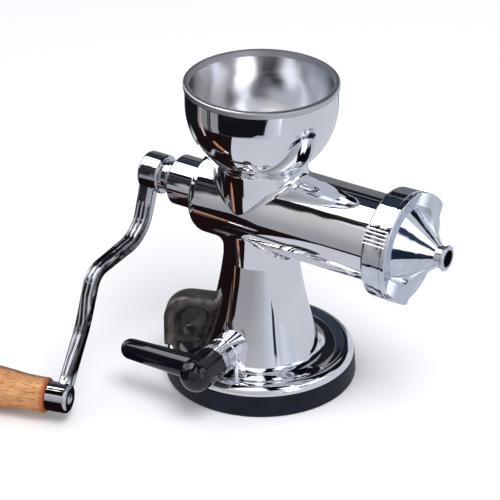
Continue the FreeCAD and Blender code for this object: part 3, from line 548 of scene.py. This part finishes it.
# ---- Crank -------------------------------------------------------------------------------------
# A forged bar bent twice, ground along its length and chromed. The grinding leaves lengthwise ridges
# with grooves between them; painted shade darkens the grooves, and the underside and inner half of the
# lower arm. The hub is plain.
RIDGE_GAP = 3.7 * MM
RIDGE_DEPTH = 0.42 * MM
LOWER_BEND_Z = 78 * MM
LOWER_ARM_SIDEWAYS = 0.21
LOWER_ARM_LEAN = 0.79
LOWER_ARM_POINT = (-119 * MM, 44 * MM)
INNER_FACE_X = -89 * MM
MIDDLE_ACROSS = -94 * MM


def crank_chrome():
    material, tree, shader = new_finish("polished_crank", colour("d6d7db"), 1.0, 0.05)
    place, (x, y, z) = object_place(tree)
    haze = noise(tree, place, 110, 4.0)
    plug(tree, shader.inputs["Roughness"], 0.035 + haze.step(0.35, 0.8) * 0.07)
    sway = noise(tree, place, 16, 0.0) * 2.0
    across = x + (z.least(LOWER_BEND_Z) - LOWER_BEND_Z) * LOWER_ARM_SIDEWAYS
    phase = across * (2 * math.pi / RIDGE_GAP) + sway
    lengthwise = phase.sine()
    lower_arm = 1 - z.step(72 * MM, 84 * MM)
    on_arm = (1 - x.step(INNER_FACE_X - 0.5 * MM, INNER_FACE_X + 0.5 * MM)).most(lower_arm)
    on_arm = on_arm * (1 - z.step(119 * MM, 124 * MM)) * z.step(29 * MM, 33 * MM)
    tint = mix_colour(tree, haze, colour("bcbdc2"), colour("d9dade"))
    # painted shade in the grooves between the ground ridges
    painted_groove_shade = (lengthwise * -1).step(0.1, 0.7) * on_arm * (0.5 + haze * 0.6)
    tint = mix_colour(tree, painted_groove_shade, tint, colour("2b2a2d"))
    behind = y - LOWER_ARM_POINT[0] - (z - LOWER_ARM_POINT[1]) * LOWER_ARM_LEAN
    inner_half = across.step(MIDDLE_ACROSS - 0.6 * MM, MIDDLE_ACROSS + 0.6 * MM)
    inner_half = inner_half * (1 - z.step(56 * MM, 66 * MM))
    # painted shade on the underside and inner half of the lower arm
    painted_shade_side = behind.step(3.2 * MM, 5.5 * MM).most(inner_half) * on_arm * lower_arm
    plug(tree, shader.inputs["Base Color"], mix_colour(tree, painted_shade_side * 0.95, tint, colour("30272a")))
    ridges = bumped(tree, shader, lengthwise * on_arm, RIDGE_DEPTH)
    bumped(tree, shader, noise(tree, place, 45, 1.0), 0.4 * MM, under=ridges)
    return material


dress("crank_arm", crank_chrome())


# ---- Turned steel: bushes, washer, rivet and screws ----------------------------------------------
# Plain steel turned on a lathe and left with its fine rings, on the shaft, the lever and the grip.
RINGS_A_METRE = 2600
STREAKS_A_METRE = 12


def turned_steel(name, code, roughness, ring_axis):
    material, tree, shader = new_finish(name, colour(code), 1.0, roughness)
    place, parts = object_place(tree)
    factors = [RINGS_A_METRE if axis == ring_axis else STREAKS_A_METRE for axis in range(3)]
    rings = noise(tree, stretched(tree, parts, factors), 1.0, 3.0)
    patch = noise(tree, place, 140, 4.0)
    plug(tree, shader.inputs["Roughness"], roughness * 0.75 + rings * roughness * 0.4 + patch * 0.06)
    dark = colour(code, 0.78)
    plug(tree, shader.inputs["Base Color"], mix_colour(tree, rings.step(0.35, 0.7), dark, colour(code)))
    bumped(tree, shader, rings, 0.015 * MM)
    return material


shaft_steel = turned_steel("turned_along_shaft", "cfd0d4", 0.12, 0)
for name in ("rear_bush", "thrust_washer", "grip_nut", "grip_bolt"):
    dress(name, shaft_steel)
dress("lever_bush", turned_steel("bush_chrome", "dcdde2", 0.07, 1))
plain_steel = turned_steel("plain_turned", "a9aaae", 0.26, 2)
for name in ("base_plate", "base_screws", "crank_lock_screw", "cam_shaft", "retaining_clip",
             "lever_set_screw", "pull_stem"):
    dress(name, plain_steel)


# ---- Auger and juice screen ----------------------------------------------------------------------
# Cast and turned: the flight is bright where it rubs the barrel, the core is duller. The screen is a
# slit sleeve of brushed sheet.
FLIGHT_RUB_R = 27.6 * MM


def worn_auger():
    material, tree, shader = new_finish("auger_steel", colour("b9babd"), 1.0, 0.3)
    place, (x, y, z) = object_place(tree)
    rubbed = distance_from(tree, y, z - AXIS_Z).step(FLIGHT_RUB_R - 0.5 * MM, FLIGHT_RUB_R)
    patch = noise(tree, place, 160, 5.0)
    plug(tree, shader.inputs["Roughness"], 0.26 + patch * 0.16 - rubbed * 0.2)
    tint = mix_colour(tree, patch.step(0.3, 0.7), colour("a2a3a7"), colour("c4c5c8"))
    plug(tree, shader.inputs["Base Color"], mix_colour(tree, rubbed, tint, colour("dcdde0")))
    skin = bumped(tree, shader, noise(tree, place, 900, 3.0) * (1 - rubbed), 0.05 * MM)
    marks = noise(tree, stretched(tree, (x, y, z), (1500, 10, 10)), 1.0, 2.0)
    bumped(tree, shader, marks, 0.015 * MM, under=skin)
    return material


dress("auger", worn_auger())
dress("juice_screen", turned_steel("screen_steel", "b6b7ba", 0.3, 0))


# ---- Wooden grip -------------------------------------------------------------------------------
# Turned beech, oiled: straight grain along the pin, short dark flecks, faint growth bands and a
# redder end grain where the oil soaks in next to the crank. Painted shade darkens the side towards the
# body.
PIN_YAW = math.radians(14.5)
PIN_START = Vector((-77.1, -140.0, 18.2)) * MM


def oiled_wood():
    material, tree, shader = new_finish("oiled_wood", colour("c98f5a"), 0.0, 0.42, coat=0.12)
    _, (x, y, z) = object_place(tree)
    shifted = (x - PIN_START.x, y - PIN_START.y)
    out = shifted[0] * -math.cos(PIN_YAW) + shifted[1] * -math.sin(PIN_YAW)
    side = shifted[0] * math.sin(PIN_YAW) - shifted[1] * math.cos(PIN_YAW)
    up = z - PIN_START.z
    parts = (out, side, up)
    drift = noise(tree, stretched(tree, parts, (14, 40, 40)), 1.0, 3.0)
    rings = distance_from(tree, side + 30 * MM, up + 12 * MM) * 260 + drift * 3.2
    growth = (rings * (2 * math.pi)).sine() * 0.5 + 0.5
    flecks = noise(tree, stretched(tree, parts, (150, 1400, 1400)), 1.0, 2.0).step(0.55, 0.64)
    fibre = noise(tree, stretched(tree, parts, (60, 900, 900)), 1.0, 4.0)
    blotch = noise(tree, stretched(tree, parts, (45, 80, 80)), 1.0, 3.0)
    tone = mix_colour(tree, growth * 0.45 + fibre * 0.4, colour("d9a36c"), colour("bd7f4a"))
    tone = mix_colour(tree, blotch.step(0.45, 0.75) * 0.55, tone, colour("b06f3d"))
    tone = mix_colour(tree, flecks * 0.8, tone, colour("7c4526"))
    soaked = 1 - (out + (fibre - 0.5) * 4 * MM).step(18 * MM, 22 * MM)
    tone = mix_colour(tree, soaked * 0.85, tone, colour("a4522a"))
    # painted shade on the side towards the body
    painted_shade_side = 1 - (side + (blotch - 0.5) * 6 * MM).step(-7 * MM, 3 * MM)
    tone = mix_colour(tree, painted_shade_side * 0.85, tone, colour("6b3324"))
    plug(tree, shader.inputs["Base Color"], tone)
    plug(tree, shader.inputs["Roughness"], 0.36 + fibre * 0.14 + flecks * 0.12)
    pores = bumped(tree, shader, 1 - flecks, 0.06 * MM)
    bumped(tree, shader, fibre, 0.03 * MM, under=pores)
    return material


dress("wooden_grip", oiled_wood())


# ---- Clamp lug ---------------------------------------------------------------------------------
# A dark grey casting with a tumbled, waxed skin: rounded rim, sunk web and a hole for a clamp.
# Painted shade darkens it low down towards the body.
def dark_casting():
    material, tree, shader = new_finish("dark_casting", colour("5a5552"), 0.55, 0.3)
    place, (x, _, z) = object_place(tree)
    patch = noise(tree, place, 120, 5.0)
    tone = mix_colour(tree, patch.step(0.3, 0.7), colour("45413f"), colour("746e69"))
    # painted shade low down on the side towards the body
    painted_shade_low = x.step(-58 * MM, -53 * MM) * (1 - z.step(48 * MM, 63 * MM))
    plug(tree, shader.inputs["Base Color"], mix_colour(tree, painted_shade_low * 0.6, tone, colour("1d1b1b")))
    plug(tree, shader.inputs["Roughness"], 0.24 + patch * 0.2)
    grain = bumped(tree, shader, noise(tree, place, 1100, 3.0), 0.05 * MM)
    bumped(tree, shader, noise(tree, place, 130, 2.0), 0.25 * MM, under=grain)
    return material


dress("clamp_lug", dark_casting())


# ---- Rubber base and seal ------------------------------------------------------------------------
# Moulded navy-black rubber with a fine, slightly cloudy matt skin and the mould's parting line.
def moulded_rubber():
    material, tree, shader = new_finish("pad_rubber", colour("0e1320"), 0.0, 0.5)
    place, (_, _, z) = object_place(tree)
    cloud = noise(tree, place, 55, 5.0)
    tone = mix_colour(tree, cloud.step(0.3, 0.75), colour("080c18"), colour("141a2b"))
    plug(tree, shader.inputs["Base Color"], tone)
    plug(tree, shader.inputs["Roughness"], 0.42 + cloud * 0.2)
    shader.inputs["Specular IOR Level"].default_value = 0.22
    parting_line = z.band(8.2 * MM, 8.5 * MM, 0.12 * MM)
    line = bumped(tree, shader, parting_line, 0.08 * MM)
    bumped(tree, shader, noise(tree, place, 1300, 3.0), 0.03 * MM, under=line)
    return material


pad_rubber = moulded_rubber()
for name in ("suction_pad", "pad_diaphragm", "cap_seal"):
    dress(name, pad_rubber)


# ---- Suction lever -------------------------------------------------------------------------------
# Gloss black moulding with faint sink marks and light smears.
def gloss_black():
    material, tree, shader = new_finish("lever_plastic", colour("0a0c14"), 0.0, 0.08)
    place, _ = object_place(tree)
    smear = noise(tree, place, 95, 5.0)
    plug(tree, shader.inputs["Roughness"], 0.06 + smear.step(0.35, 0.8) * 0.08)
    shader.inputs["IOR"].default_value = 1.5
    tone = mix_colour(tree, smear, colour("05060c"), colour("0e111c"))
    plug(tree, shader.inputs["Base Color"], tone)
    sink = bumped(tree, shader, noise(tree, place, 48, 1.0), 0.3 * MM)
    bumped(tree, shader, noise(tree, place, 1500, 2.0), 0.008 * MM, under=sink)
    return material


dress("lever_handle", gloss_black())
